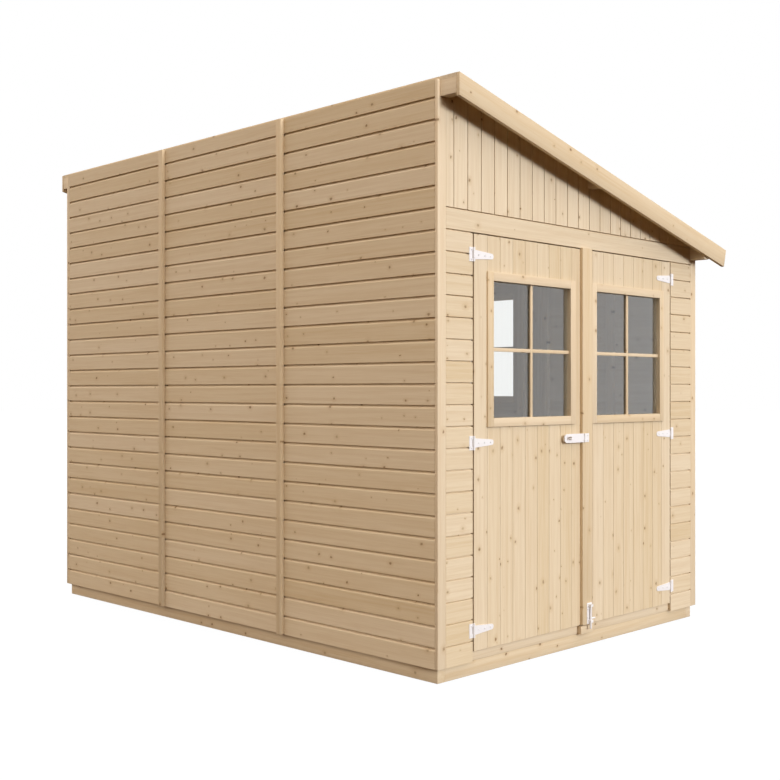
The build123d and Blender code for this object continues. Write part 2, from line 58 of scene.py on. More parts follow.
# %% Camera
EYE = (-4.4818, -4.6246, 1.2037)
HEADING = math.radians(-44.95)
UPRIGHT = math.radians(90)
bpy.ops.object.select_all(action="DESELECT")
bpy.ops.object.camera_add(location=EYE, rotation=(UPRIGHT, 0, HEADING))
camera = bpy.context.object
camera.data.sensor_width = 36
camera.data.lens = 52.63
camera.data.clip_end = 200
bpy.context.scene.camera = camera
print("camera at", tuple(round(value, 3) for value in camera.location), "lens", camera.data.lens)

# %% [markdown]
# ## Floor and studio light
# The shed stands on white. A white floor alone would show a grey patch beside the walls, so the floor glows,
# as a light table does, and its own colour is dark, so a shadow hardly shows on it. It throws no light back
# up, so the slots between the boards and the underside of the roof stay dark. A wide pale sky lights the
# walls, mostly from halfway up and a little less from the front, and what comes from below is brown, as from
# bare ground. The panes mirror an even white studio instead, so they look flat grey. One soft sun stands for
# the key light. It comes from the front, about 14 degrees up, so the tall wall stays in even shade and the
# bargeboard's shadow falls a few centimetres down the gable.
#
# One small helper adds a node and fills its inputs, by name or by number. In a Map Range, 1 and 2 are the
# range that it reads and 3 and 4 are the range that it gives. In a colour Mix, 6 and 7 are the two colours.


# %% Colour and node helpers
def colour(code):
    """An sRGB hex colour as linear values."""
    parts = [int(code[place : place + 2], 16) / 255 for place in (1, 3, 5)]
    linear = [part / 12.92 if part <= 0.04045 else ((part + 0.055) / 1.055) ** 2.4 for part in parts]
    return (*linear, 1.0)


def add(tree, kind, inputs=None, **settings):
    """Adds one node, with its settings, and sets or links its inputs."""
    made = tree.nodes.new("ShaderNode" + kind)
    for name, value in settings.items():
        setattr(made, name, value)
    for name, value in (inputs or {}).items():
        if isinstance(value, bpy.types.NodeSocket):
            tree.links.new(value, made.inputs[name])
        else:
            made.inputs[name].default_value = value
    return made


WHITE = colour("#FFFFFF")
print("white in linear light:", WHITE)

# %% Floor
FLOOR_DROP = 0.5 * MM
bpy.ops.mesh.primitive_circle_add(vertices=96, radius=60, fill_type="NGON", location=(0, 0, -FLOOR_DROP))
studio_floor = bpy.context.object
studio_floor.name = "studio_floor"
floor_paint = bpy.data.materials.new("matt_white_floor")
floor_paint.use_nodes = True
floor_shader = floor_paint.node_tree.nodes["Principled BSDF"]
floor_shader.inputs["Base Color"].default_value = colour("#50565C")
floor_shader.inputs["Roughness"].default_value = 1.0
floor_shader.inputs["Specular IOR Level"].default_value = 0.0
floor_shader.inputs["Emission Color"].default_value = WHITE
floor_shader.inputs["Emission Strength"].default_value = 0.92
studio_floor.data.materials.append(floor_paint)
studio_floor.visible_diffuse = False
studio_floor.visible_glossy = False
print("floor:", studio_floor.name)

# %% Sky
MIRRORED_HORIZON = (-0.16, -0.08)
LIT_HORIZON = (0.035, 0.40)
MIRRORED_FRONT, LIT_FRONT = 2.0, 0.95
BACK_STRENGTH, TOP_STRENGTH = 2.45, 0.75
TOP_STARTS = 0.6
sky = bpy.data.worlds.new("white_studio")
bpy.context.scene.world = sky
sky.use_nodes = True
sky_tree = sky.node_tree
sky_tree.nodes.clear()
direction = add(sky_tree, "TexCoord").outputs["Generated"]
sides = add(sky_tree, "SeparateXYZ", {0: direction}).outputs
ahead, rise = sides[1], sides[2]
ray = add(sky_tree, "LightPath").outputs
lit = ray["Is Diffuse Ray"]

ramp_low = add(sky_tree, "MapRange", {0: lit, 3: MIRRORED_HORIZON[0], 4: LIT_HORIZON[0]}).outputs[0]
ramp_top = add(sky_tree, "MapRange", {0: lit, 3: MIRRORED_HORIZON[1], 4: LIT_HORIZON[1]}).outputs[0]
above = add(sky_tree, "MapRange", {0: rise, 1: ramp_low, 2: ramp_top}).outputs[0]
pale = add(sky_tree, "Mix", {0: lit, 6: WHITE, 7: colour("#FFF1E4")}, data_type="RGBA").outputs[2]
tint = add(sky_tree, "Mix", {0: above, 6: colour("#371D00"), 7: pale}, data_type="RGBA").outputs[2]

front = add(sky_tree, "MapRange", {0: lit, 3: MIRRORED_FRONT, 4: LIT_FRONT}).outputs[0]
peak = add(sky_tree, "MapRange", {0: ahead, 1: -1.0, 2: 1.0, 3: front, 4: BACK_STRENGTH}).outputs[0]
dim = add(sky_tree, "MapRange", {0: rise, 1: TOP_STARTS, 2: 1.0, 3: peak, 4: TOP_STRENGTH}).outputs[0]
soft = add(sky_tree, "Background", {"Color": tint, "Strength": dim}).outputs[0]
backdrop = add(sky_tree, "Background", {"Color": WHITE, "Strength": 1.0}).outputs[0]
looks = {0: ray["Is Camera Ray"], 1: ray["Is Transmission Ray"]}
seen = add(sky_tree, "Math", looks, operation="MAXIMUM").outputs[0]
both = add(sky_tree, "MixShader", {0: seen, 1: soft, 2: backdrop}).outputs[0]
add(sky_tree, "OutputWorld", {"Surface": both})
print("sky:", sky.name, "with", len(sky_tree.nodes), "nodes")

# %% Sun
SUN_GOES = Vector((-0.03, 1.0, -0.24))
bpy.ops.object.light_add(type="SUN")
key_light = bpy.context.object
key_light.data.energy = 3.05
key_light.data.angle = math.radians(15)
key_light.data.color = colour("#E0E5ED")[:3]
key_light.rotation_euler = SUN_GOES.to_track_quat("-Z", "Y").to_euler()
bpy.context.scene.view_settings.view_transform = "Standard"
print("one soft sun of strength", round(key_light.data.energy, 2))

# %% [markdown]
# ## Spruce
# The shed is planed spruce, not oiled or painted. Spruce is pale cream with faint darker rings that run along
# the board, fine fibres and small dark-brown knots. Each board is sawn from another place in the tree, so the
# pattern must not run on from board to board. Every board therefore carries two attributes of its own: grain,
# which is its place along, across and through the board, and tone, one value for the whole board.
#
# A picture of wood could be laid on, but it would repeat, so the pattern is grown from noise. Each cell along
# the board may hold one knot, with a dark heart, a soft halo in the rings' colour and a ragged edge. Its
# radius is a share of its cell, about 2 to 9 mm. Real fibres are thinner than a pixel here, so they are
# drawn coarser, 2.6 mm wide.

# %% Knots
KNOT_ALONG, KNOT_ACROSS = 115 * MM, 92 * MM
KNOT_SHARE = 0.52
KNOT_SIZE = (0.018, 0.085)
KNOT_DARK = (0.30, 0.95)
RAGGED_SIZE, RAGGED_DEPTH = 9 * MM, 8 * MM


def grow_knots(tree, grain):
    """Knots in about half of the cells along a board: their hearts, and the halos round them."""
    wobble = {"Vector": grain, "Scale": 1 / RAGGED_SIZE, "Detail": 1.0}
    ragged = add(tree, "TexNoise", wobble).outputs["Color"]
    ragged = add(tree, "VectorMath", {0: ragged, 1: (0.5, 0.5, 0.5)}, operation="SUBTRACT").outputs[0]
    depth = (RAGGED_DEPTH, RAGGED_DEPTH, 0)
    ragged = add(tree, "VectorMath", {0: ragged, 1: depth}, operation="MULTIPLY").outputs[0]
    place = add(tree, "VectorMath", {0: grain, 1: ragged}).outputs[0]
    stretch = (1 / KNOT_ALONG, 1 / KNOT_ACROSS, 0)
    place = add(tree, "VectorMath", {0: place, 1: stretch}, operation="MULTIPLY").outputs[0]
    cell = add(tree, "TexVoronoi", {"Vector": place, "Scale": 1.0}, voronoi_dimensions="2D").outputs
    chance = add(tree, "SeparateColor", {0: cell["Color"]}).outputs
    kept = add(tree, "Math", {0: chance[0], 1: KNOT_SHARE}, operation="LESS_THAN").outputs[0]
    radius = add(tree, "MapRange", {0: chance[1], 3: KNOT_SIZE[0], 4: KNOT_SIZE[1]}).outputs[0]
    dark = add(tree, "MapRange", {0: chance[2], 3: KNOT_DARK[0], 4: KNOT_DARK[1]}).outputs[0]
    dark = add(tree, "Math", {0: dark, 1: kept}, operation="MULTIPLY").outputs[0]
    # from here on, distances count in radii of the knot
    reach = add(tree, "Math", {0: cell["Distance"], 1: radius}, operation="DIVIDE").outputs[0]
    heart = add(tree, "MapRange", {0: reach, 1: 1.1, 2: 0.35, 3: 0.0, 4: 1.0}).outputs[0]
    heart = add(tree, "Math", {0: heart, 1: dark}, operation="MULTIPLY").outputs[0]
    halo = add(tree, "MapRange", {0: reach, 1: 3.2, 2: 0.8, 3: 0.0, 4: 0.38}).outputs[0]
    halo = add(tree, "Math", {0: halo, 1: kept}, operation="MULTIPLY").outputs[0]
    return heart, halo


print("knots in", round(100 * KNOT_SHARE), "% of the cells")

# %% Rings and fibres
RING_ALONG, RING_ACROSS, RING_THROUGH = 620 * MM, 16 * MM, 30 * MM
FIBRE_ALONG, FIBRE_ACROSS, FIBRE_THROUGH = 100 * MM, 2.6 * MM, 4 * MM
SWERVE = 12 * MM


def grow_rings(tree, grain, halo):
    """Rings and fibres along a board, bent aside where they pass a knot."""
    swerve = add(tree, "CombineXYZ", {1: halo}).outputs[0]
    swerve = add(tree, "VectorMath", {0: swerve, 1: (0, SWERVE, 0)}, operation="MULTIPLY").outputs[0]
    bent = add(tree, "VectorMath", {0: grain, 1: swerve}).outputs[0]
    stretch = (1 / RING_ALONG, 1 / RING_ACROSS, 1 / RING_THROUGH)
    place = add(tree, "VectorMath", {0: bent, 1: stretch}, operation="MULTIPLY").outputs[0]
    uneven = {"Scale": 1.0, "Detail": 3.0, "Roughness": 0.55, "Distortion": 0.5}
    rings = add(tree, "TexNoise", {"Vector": place, **uneven}).outputs[0]
    stretch = (1 / FIBRE_ALONG, 1 / FIBRE_ACROSS, 1 / FIBRE_THROUGH)
    place = add(tree, "VectorMath", {0: bent, 1: stretch}, operation="MULTIPLY").outputs[0]
    fibres = add(tree, "TexNoise", {"Vector": place, "Scale": 1.0, "Detail": 2.0}).outputs[0]
    return rings, fibres


print("rings", round(RING_ACROSS / MM), "mm and fibres", round(FIBRE_ACROSS / MM, 1), "mm wide")


# %% Spruce finish
def spruce(name, pale, ring, knot, ring_share=0.34, roughness=0.62):
    """Planed spruce: rings, fibres and knots laid along the board's own grain."""
    finish = bpy.data.materials.new(name)
    finish.use_nodes = True
    tree = finish.node_tree
    shader = tree.nodes["Principled BSDF"]
    grain = add(tree, "Attribute", attribute_name="grain").outputs["Vector"]
    tone = add(tree, "Attribute", attribute_name="tone").outputs["Fac"]
    heart, halo = grow_knots(tree, grain)
    rings, fibres = grow_rings(tree, grain, halo)

    # the wood takes the rings' colour where their noise is high, and the fibres shift that a little
    share = add(tree, "MapRange", {0: rings, 1: 0.36, 2: 0.68, 3: 0.0, 4: ring_share}).outputs[0]
    lines = add(tree, "MapRange", {0: fibres, 1: 0.3, 2: 0.75, 3: -0.10, 4: 0.16}).outputs[0]
    share = add(tree, "Math", {0: share, 1: lines}, operation="ADD", use_clamp=True).outputs[0]
    wood = add(tree, "Mix", {0: share, 6: colour(pale), 7: colour(ring)}, data_type="RGBA").outputs[2]
    # a board's tone makes it paler and cooler, or darker and warmer
    light = add(tree, "MapRange", {0: tone, 3: 0.96, 4: 1.035}, clamp=False).outputs[0]
    warmth = add(tree, "MapRange", {0: tone, 3: 1.09, 4: 0.95}).outputs[0]
    wood = add(tree, "HueSaturation", {"Color": wood, "Value": light, "Saturation": warmth}).outputs[0]
    wood = add(tree, "Mix", {0: halo, 6: wood, 7: colour(ring)}, data_type="RGBA").outputs[2]
    wood = add(tree, "Mix", {0: heart, 6: wood, 7: colour(knot)}, data_type="RGBA").outputs[2]
    tree.links.new(wood, shader.inputs["Base Color"])

    # fibres and rings stand a little proud of the planed face
    height = add(tree, "Math", {0: fibres, 1: rings}, operation="ADD").outputs[0]
    bump = add(tree, "Bump", {"Height": height, "Strength": 0.22, "Distance": 0.6 * MM})
    tree.links.new(bump.outputs[0], shader.inputs["Normal"])
    shader.inputs["Roughness"].default_value = roughness
    shader.inputs["IOR"].default_value = 1.5
    shader.inputs["Specular IOR Level"].default_value = 0.18
    print("finish:", name)
    return finish


board_spruce = spruce("planed_spruce_boards", "#DBC8A9", "#C4A77D", "#7A5834")
trim_spruce = spruce("planed_spruce_trim", "#DECAAB", "#C9AA7F", "#806040", ring_share=0.3)
sawn_spruce = spruce("sawn_spruce_framing", "#DDCAAC", "#C6A981", "#6E4C2C", ring_share=0.4, roughness=0.8)
floor_spruce = spruce("planed_spruce_floor", "#D4B78E", "#BA9463", "#6A4728", ring_share=0.45)
SLOTS = {
    "spruce_boards": board_spruce,
    "spruce_trim": trim_spruce,
    "framing_timber": sawn_spruce,
    "floor_boards": floor_spruce,
}

# %% [markdown]
# ## Hand tools
# Every piece below starts as a block or as a copy of a CAD piece and is then worked: edges are bevelled, ends
# are sawn off with a plane, openings are cut out and rows are repeated. These few tools do that with the same
# operators a person would use in edit mode. Nothing may stay selected, because an operator acts on it too.


# %% Tools for blocks
def activate(piece):
    """Makes a piece the only selected one."""
    bpy.ops.object.select_all(action="DESELECT")
    piece.select_set(True)
    bpy.context.view_layer.objects.active = piece


def block(name, one, other):
    """A block between two corners, with its place in its mesh."""
    one, other = Vector(one), Vector(other)
    bpy.ops.object.select_all(action="DESELECT")
    size = [abs(value) for value in other - one]
    bpy.ops.mesh.primitive_cube_add(size=1, location=(one + other) / 2, scale=size)
    bpy.ops.object.transform_apply()
    piece = bpy.context.object
    piece.name = piece.data.name = name
    return piece


def pick(piece, kind, test):
    """In edit mode, selects the edges or faces whose corners all pass a test."""
    bpy.ops.mesh.select_mode(type=kind)
    bpy.ops.mesh.select_all(action="DESELECT")
    mesh = bmesh.from_edit_mesh(piece.data)
    for part in mesh.edges if kind == "EDGE" else mesh.faces:
        part.select = all(test(corner.co) for corner in part.verts)
    mesh.select_flush_mode()
    bmesh.update_edit_mesh(piece.data)


def repeat(piece, step, count):
    """Repeats a piece in a row, as one mesh."""
    activate(piece)
    row = piece.modifiers.new("row", "ARRAY")
    row.use_relative_offset = False
    row.use_constant_offset = True
    row.constant_offset_displace = step
    row.count = count
    bpy.ops.object.modifier_apply(modifier=row.name)


print("tools:", ", ".join(tool.__name__ for tool in (activate, block, pick, repeat)))


# %% Tools for cutting, joining and easing
def saw(piece, place, away):
    """Saws off what lies beyond a plane and closes the cut."""
    activate(piece)
    bpy.ops.object.mode_set(mode="EDIT")
    bpy.ops.mesh.select_all(action="SELECT")
    bpy.ops.mesh.bisect(plane_co=place, plane_no=away, use_fill=True, clear_outer=True)
    bpy.ops.object.mode_set(mode="OBJECT")


def cut_out(piece, one, other):
    """Cuts a square opening between two corners."""
    cutter = block("cutter", one, other)
    activate(piece)
    opening = piece.modifiers.new("opening", "BOOLEAN")
    opening.operation = "DIFFERENCE"
    opening.object = cutter
    opening.solver = "EXACT"
    bpy.ops.object.modifier_apply(modifier=opening.name)
    bpy.data.meshes.remove(cutter.data)


def join(name, pieces):
    """Joins pieces into one object."""
    activate(pieces[0])
    for piece in pieces:
        piece.select_set(True)
    if len(pieces) > 1:
        bpy.ops.object.join()
    pieces[0].name = pieces[0].data.name = name
    return pieces[0]


def ease(piece, width):
    """Takes the sharpness off every edge."""
    activate(piece)
    bpy.ops.object.mode_set(mode="EDIT")
    bpy.ops.mesh.select_mode(type="EDGE")
    bpy.ops.mesh.select_all(action="DESELECT")
    bpy.ops.mesh.edges_select_sharp(sharpness=math.radians(40))
    bpy.ops.mesh.bevel(offset=width, segments=2, affect="EDGES", clamp_overlap=True)
    bpy.ops.object.mode_set(mode="OBJECT")
    bpy.ops.object.shade_smooth_by_angle(angle=math.radians(35))


print("tools:", ", ".join(tool.__name__ for tool in (saw, cut_out, join, ease)))

# %% [markdown]
# Grain needs one more tool. It walks through the separate boards in a mesh, finds each one's longest and
# shortest direction, and writes the two attributes. A sloping board is first turned level by the roof's
# pitch. A whole piece can be made a little darker or, with a value below zero, a little paler. On the gables
# and the bargeboards that is painted light and painted shade.

# %% Tool for grain
TREE = 40
FEW = 4


def lay_grain(piece, seed, turn=0.0, darker=0.0):
    """Writes each board's own grain and tone."""
    chance = random.Random(seed)
    sine, cosine = math.sin(turn), math.cos(turn)
    mesh = bmesh.new()
    mesh.from_mesh(piece.data)
    grain = [0.0] * (3 * len(mesh.verts))
    tone = [0.0] * len(mesh.verts)
    placed = set()
    boards = []
    for first in mesh.verts:
        if first in placed:
            continue
        placed.add(first)
        board = [first]
        for corner in board:
            for edge in corner.link_edges:
                other = edge.other_vert(corner)
                if other not in placed:
                    placed.add(other)
                    board.append(other)
        boards.append(board)
    # a cut can swap the first corners of two neighbours from run to run, so those go by their place
    boards.sort(key=lambda board: (board[0].index // FEW, min(v.co.to_tuple(4) for v in board)))
    for board in boards:
        places = [
            (v.co.x * cosine - v.co.z * sine, v.co.y, v.co.x * sine + v.co.z * cosine) for v in board
        ]
        size = [max(p[axis] for p in places) - min(p[axis] for p in places) for axis in range(3)]
        order = sorted(range(3), key=lambda axis: -size[axis])
        start = [chance.uniform(0, TREE) for axis in order]
        value = chance.random() - darker
        for corner, place in zip(board, places):
            tone[corner.index] = value
            for number, axis in enumerate(order):
                grain[3 * corner.index + number] = place[axis] + start[number]
    mesh.free()
    piece.data.attributes.new("grain", "FLOAT_VECTOR", "POINT").data.foreach_set("vector", grain)
    piece.data.attributes.new("tone", "FLOAT", "POINT").data.foreach_set("value", tone)
    return len(boards)


print("boards are sawn from", TREE, "m of grain")


# %% The last step of every wooden piece
def give_finish(piece, finish):
    """Makes one finish the only one on a piece."""
    piece.data.materials.clear()
    piece.data.materials.append(finish)


def finish_wood(piece, body, slot, nodes, turn=0.0, darker=0.0):
    """Lays the grain, gives the finish and sets the piece in the frame."""
    boards = lay_grain(piece, piece.name, turn, darker)
    give_finish(piece, SLOTS[slot])
    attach(piece, body)
    if nodes:
        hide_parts(*nodes)
    print(piece.name, "has", boards, "boards,", len(piece.data.polygons), "faces")


print("wood slots:", ", ".join(SLOTS))

# %% [markdown]
# ## Lapped wall boards
# The walls are shiplap: each board's top edge is bevelled, and above it a thin tongue slides up behind the
# next board, which leaves a dark slot between them. The profile could be drawn and swept, but a block shows
# the joiner's own steps: bevel the top edge, then raise a tongue at the back. The board can lie in any
# direction, so its length, its stacking direction and its outer side are given as three vectors.

# %% One lapped board
SIDE, AHEAD, UP = Vector((1, 0, 0)), Vector((0, 1, 0)), Vector((0, 0, 1))
THICK = 16 * MM
NEAR = 0.01 * MM
PLAY = 0.3 * MM
ROW = 90 * MM


def lap_board(
    name, start, along, stack, out, length, cover, slot=7.5 * MM, bevel=8.5 * MM, recess=10 * MM
):
    """One board from its outer lower corner, with a bevelled edge and a tongue behind the next board."""
    start = Vector(start)
    shoulder = cover - slot
    board = block(name, start, start + along * length + stack * shoulder - out * THICK)
    crest = start.dot(stack) + shoulder - NEAR
    front = start.dot(out) - NEAR
    back = start.dot(out) - recess + NEAR
    bpy.ops.object.mode_set(mode="EDIT")
    pick(board, "EDGE", lambda co: co.dot(stack) > crest and co.dot(out) > front)
    bpy.ops.mesh.bevel(offset=bevel, segments=2, affect="EDGES")
    bpy.ops.mesh.select_all(action="SELECT")
    bpy.ops.mesh.bisect(plane_co=start - out * recess, plane_no=out)
    pick(board, "FACE", lambda co: co.dot(stack) > crest and co.dot(out) < back)
    bpy.ops.mesh.extrude_region_move(TRANSFORM_OT_translate={"value": stack * (slot - PLAY)})
    bpy.ops.object.mode_set(mode="OBJECT")
    return board


sample = lap_board("sample", (0, 0, 0), AHEAD, UP, SIDE, 1.0, ROW)
print("one lapped board has", len(sample.data.polygons), "faces")
bpy.data.meshes.remove(sample.data)

# %% [markdown]
# ## Tall wall
# Three panels of 27 rows, 90 mm each. One board is made, repeated upward, then the whole panel is repeated
# along the wall. The top row is sawn level: it laps up over the edge of the roof boards, so the roof's plane
# starts behind it. That plane is noted here too, because it saws off the low wall and the gables.

# %% Tall wall
PITCH = math.radians(14)
ROOF_UP = Vector((math.sin(PITCH), 0, math.cos(PITCH)))
TALL_ROWS = 27
PANELS = 3
deck_low, deck_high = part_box("roof_deck")
roof_line = Vector((deck_low.x, 0, deck_high.z - THICK / math.cos(PITCH)))
low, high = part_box("tall_wall_panels")
tall_x = low.x
panel = (high.y - low.y) / PANELS
joint = 1 * MM
tall_wall = lap_board(
    "tall_wall_boards", (low.x, low.y + joint, low.z), AHEAD, UP, -SIDE, panel - 2 * joint, ROW
)
repeat(tall_wall, UP * ROW, TALL_ROWS)
repeat(tall_wall, AHEAD * panel, PANELS)
saw(tall_wall, high, UP)
finish_wood(tall_wall, "shed", "spruce_boards", ["tall_wall_panels"])

# %% [markdown]
# ## Low wall
# The same boards on the other side, sawn to the roof's slope. The middle panel has the side window, so it
# is a piece of its own. The opening is cut through its rows, and a shallow rebate behind them takes the
# pane.

# %% Low wall
LOW_ROWS = 22
low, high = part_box("low_wall_panels")


def low_panel(name, y_from):
    """The rows of one panel, sawn to the roof."""
    rows = lap_board(name, (high.x, y_from, low.z), AHEAD, UP, SIDE, panel - 2 * joint, ROW)
    repeat(rows, UP * ROW, LOW_ROWS)
    saw(rows, roof_line, ROOF_UP)
    return rows


low_wall = low_panel("low_wall_boards", low.y + joint)
repeat(low_wall, AHEAD * panel * 2, 2)
finish_wood(low_wall, "shed", "spruce_boards", ["low_wall_panels"])

# %% Low wall's middle panel, with the window
TRIM = 38 * MM
GAP = 0.2 * MM


def open_window(boards, side, depth, inward):
    """Cuts the window through the boards, and the pane's rebate into their back."""
    trim_low, trim_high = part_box(side + "_window_trim")
    glass_low, glass_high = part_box(side + "_window_glass")
    hole_low, hole_high = trim_low.copy(), trim_high.copy()
    for axis in (1 - depth, 2):
        hole_low[axis] += TRIM
        hole_high[axis] -= TRIM
        glass_low[axis] -= GAP
        glass_high[axis] += GAP
    hole_low[depth] -= 3 * THICK
    hole_high[depth] += 3 * THICK
    if inward > 0:
        glass_high[depth] += THICK
    else:
        glass_low[depth] -= THICK
    cut_out(boards, hole_low, hole_high)
    cut_out(boards, glass_low, glass_high)


window_wall = low_panel("low_wall_window_boards", low.y + panel + joint)
open_window(window_wall, "side", 0, -1)
finish_wood(window_wall, "shed", "spruce_boards", ["low_wall_window_panel"])

# %% [markdown]
# ## Back wall
# The back isn't in the picture. It repeats the other walls: two panels of lapped rows, and a gable of upright
# boards over them, notched for the roof timbers like the front.

# %% Back wall
BACK_ROWS = 21
WALLS_WIDE = 2.02
MIDDLE_PURLIN = 0.517
PURLIN_WIDE = 45 * MM
HIGH_DEEP, MIDDLE_DEEP, LOW_DEEP = 66 * MM, 58 * MM, 93 * MM
ROOM = 1 * MM


def notch_purlins(piece, y_from, y_to):
    """Cuts room for the three roof timbers through an end wall's boards."""
    purlin_low, purlin_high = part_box("purlins")
    middle = tall_x + MIDDLE_PURLIN * WALLS_WIDE
    last = purlin_high.x - PURLIN_WIDE
    for x_from, depth in ((purlin_low.x, HIGH_DEEP), (middle, MIDDLE_DEEP), (last, LOW_DEEP)):
        under = roof_line.z - (x_from - roof_line.x) * math.tan(PITCH) - depth
        cut_out(
            piece,
            (x_from - ROOM, y_from - THICK, under - ROOM),
            (x_from + PURLIN_WIDE + ROOM, y_to + THICK, roof_line.z + THICK),
        )


low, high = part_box("back_wall_panels")
back_row = (high.z - low.z) / BACK_ROWS
half = (high.x - low.x) / 2
back_wall = lap_board(
    "back_wall_boards", (low.x + joint, high.y, low.z), SIDE, UP, AHEAD, half - 2 * joint, back_row
)
repeat(back_wall, UP * back_row, BACK_ROWS)
repeat(back_wall, SIDE * half, 2)
notch_purlins(back_wall, low.y, high.y)
finish_wood(back_wall, "shed", "spruce_boards", ["back_wall_panels"])

# %% Gables
GABLE_ROW = 87 * MM
GABLE_BOARDS = 25
GABLE_LENGTH = 0.7
FIRST_LINE = 100 * MM


def gable_boards(name, node, face_y, out):
    """Upright lapped boards, sawn to the roof and notched for its timbers."""
    low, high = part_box(node)
    start = (tall_x + FIRST_LINE - 2 * GABLE_ROW, face_y, low.z)
    boards = lap_board(name, start, UP, SIDE, out, GABLE_LENGTH, GABLE_ROW, slot=3 * MM, bevel=2 * MM)
    repeat(boards, SIDE * GABLE_ROW, GABLE_BOARDS)
    saw(boards, (low.x, 0, 0), -SIDE)
    saw(boards, (high.x, 0, 0), SIDE)
    saw(boards, roof_line, ROOF_UP)
    notch_purlins(boards, low.y, high.y)
    # painted light: the gable boards are made paler than the other boards, to make up for the sky that the
    # roof's overhang keeps off the gable
    finish_wood(boards, "shed", "spruce_boards", [node], darker=-0.8)


gable_boards("back_gable_boards", "back_gable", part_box("back_gable")[1].y, AHEAD)
gable_boards("front_gable_boards", "front_gable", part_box("front_gable")[0].y, -AHEAD)

# %% [markdown]
# ## Front wall
# Short lapped rows stand each side of the doorway, and one plain header board runs over it. The rows are open
# at their ends, so each slot shows as a small dark notch beside the door, as on the real shed.

# %% Jambs and header
JAMB_ROWS = 20
LEFT_JAMB, RIGHT_JAMB = 216 * MM, 198 * MM
low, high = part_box("front_wall_panels")
jamb_row = (high.z - low.z) / JAMB_ROWS
jamb_rows = []
for x_from, x_to in ((low.x, tall_x + LEFT_JAMB), (high.x - RIGHT_JAMB, high.x)):
    start = (x_from, low.y, low.z)
    rows = lap_board("jamb", start, SIDE, UP, -AHEAD, x_to - x_from, jamb_row, slot=6 * MM, bevel=3 * MM)
    repeat(rows, UP * jamb_row, JAMB_ROWS)
    jamb_rows.append(rows)
jambs = join("front_jamb_boards", jamb_rows)
finish_wood(jambs, "shed", "spruce_boards", ["front_wall_panels"])

low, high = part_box("front_header")
header = lap_board(
    "front_header_board", low, SIDE, UP, -AHEAD, high.x - low.x, high.z - low.z, slot=4 * MM, bevel=3 * MM
)
notch_purlins(header, low.y, high.y)
finish_wood(header, "shed", "spruce_boards", ["front_header"])

# %% [markdown]
# ## Door boards
# The leaves are upright tongue-and-groove boards, tighter than the walls, so their joints are only fine
# lines. Each leaf is one repeated board, sawn to the leaf's edges, with the window opening cut through.

# %% Door boards
DOOR_ROW = 86.5 * MM
LEAF_BOARDS = 9
fine = {"slot": 0.9 * MM, "bevel": 1.1 * MM, "recess": 3 * MM}


def door_boards(name, side, first_line):
    """One leaf's boards with its window opening."""
    low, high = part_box(side + "_door_boards")
    start = (tall_x + first_line - DOOR_ROW, low.y, low.z)
    boards = lap_board(name, start, UP, SIDE, -AHEAD, high.z - low.z, DOOR_ROW, **fine)
    repeat(boards, SIDE * DOOR_ROW, LEAF_BOARDS)
    saw(boards, (low.x, 0, 0), -SIDE)
    saw(boards, (high.x, 0, 0), SIDE)
    open_window(boards, side, 1, 1)
    finish_wood(boards, side + "_door", "spruce_boards", [side + "_door_boards"])


door_boards("left_leaf_boards", "left", first_line=311 * MM)
door_boards("right_leaf_boards", "right", first_line=1083 * MM)

# %% [markdown]
# ## Roof and floor boards
# The roof boards run down the slope, across the purlins. They are made level, at the height of the tall
# edge, and then turned by the pitch about that edge. The tall edge is sawn plumb. The floor boards run the
# length of the shed, over the joists.

# %% Roof
ROOF_BOARDS = 33
low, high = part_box("roof_deck")
roof_row = (high.y - low.y) / ROOF_BOARDS
slope_length = (high.x - low.x) / math.cos(PITCH)
overlap = 20 * MM
roof_start = (low.x - overlap, low.y, high.z)
roof_length = slope_length + overlap
roof_boards = lap_board(
    "roof_boards", roof_start, SIDE, AHEAD, UP, roof_length, roof_row, slot=2.5 * MM, bevel=2 * MM
)
repeat(roof_boards, AHEAD * roof_row, ROOF_BOARDS)
activate(roof_boards)
bpy.ops.object.mode_set(mode="EDIT")
bpy.ops.mesh.select_all(action="SELECT")
bpy.ops.transform.rotate(value=-PITCH, orient_axis="Y", center_override=(low.x, 0, high.z))
bpy.ops.object.mode_set(mode="OBJECT")
saw(roof_boards, (low.x, 0, 0), -SIDE)
finish_wood(roof_boards, "shed", "spruce_boards", ["roof_deck"], turn=PITCH)

# %% Floor boards
FLOOR_BOARDS = 16
low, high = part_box("floor_deck")
floor_row = (high.x - low.x) / FLOOR_BOARDS
floor_start = (low.x, low.y, high.z)
floor_boards = lap_board(
    "floor_planks", floor_start, AHEAD, SIDE, UP, high.y - low.y, floor_row, slot=2.5 * MM, bevel=1.5 * MM
)
repeat(floor_boards, SIDE * floor_row, FLOOR_BOARDS)
finish_wood(floor_boards, "shed", "floor_boards", ["floor_deck"])

# %% [markdown]
# ## Timbers with eased edges
# Battens, corner strips, bargeboards and the framing have the right shape in CAD already, but their edges
# are knife-sharp. A planed timber has slightly rounded edges that catch a thin line of light. So each is
# copied, its loose triangles are merged back into flat sides, and every sharp edge is bevelled by a
# millimetre or two.

# %% Eased copies
EASED = 1.6 * MM
FRAMING = ("side_bearers", "end_bearers", "floor_joists", "threshold", "wall_studs", "wall_rails", "purlins")


def eased_copy(name, node, body, slot, turn=0.0, darker=0.0):
    """A copy of a CAD timber with eased edges."""
    piece = bpy.data.objects.new(name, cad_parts[node].data.copy())
    bpy.context.scene.collection.objects.link(piece)
    activate(piece)
    bpy.ops.object.mode_set(mode="EDIT")
    bpy.ops.mesh.select_all(action="SELECT")
    bpy.ops.mesh.remove_doubles(threshold=NEAR)
    bpy.ops.mesh.dissolve_limited(angle_limit=math.radians(1))
    bpy.ops.object.mode_set(mode="OBJECT")
    ease(piece, EASED)
    finish_wood(piece, body, slot, [node], turn, darker)


